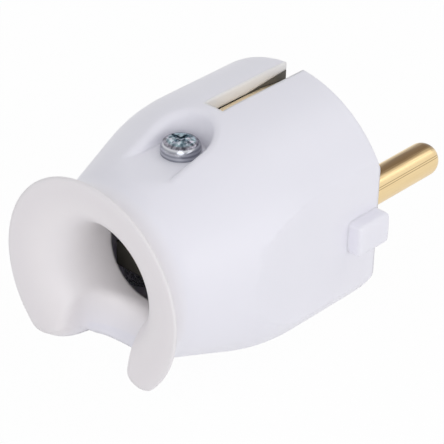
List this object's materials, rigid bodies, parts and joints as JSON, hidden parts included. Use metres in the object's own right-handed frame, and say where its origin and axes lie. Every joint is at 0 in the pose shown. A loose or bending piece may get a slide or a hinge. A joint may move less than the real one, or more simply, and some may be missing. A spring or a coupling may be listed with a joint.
{
  "type": "mains plug",
  "caption": "White rewireable mains plug with round brass pins, side earth contacts in slots, a sunk closing screw and a flared, notched mouth for the cord.",
  "frame": {"origin": "centre of the engagement face, midway between the pins", "axes": "+X along the pins, away from the body; +Y across the pins; +Z towards the closing screw's head"},
  "size_m": [0.0575, 0.0354, 0.0352],
  "materials": {
    "white_moulding": "satin",
    "dark_moulding": "matte",
    "pin_brass": "polished",
    "strip_brass": "rolled",
    "plated_steel": "zinc plated"
  },
  "bodies": {
    "root": {"hood": "white_moulding", "contact_carrier": "dark_moulding", "live_pin": "pin_brass", "neutral_pin": "pin_brass", "terminal_screws": "plated_steel", "earth_strap": "strip_brass", "earth_washer": "plated_steel", "earth_terminal_screw": "plated_steel", "cord_clamp_bar": "dark_moulding", "cord_clamp_screws": "plated_steel", "closing_screw": "plated_steel", "closing_nut": "plated_steel"}
  },
  "joints": []
}
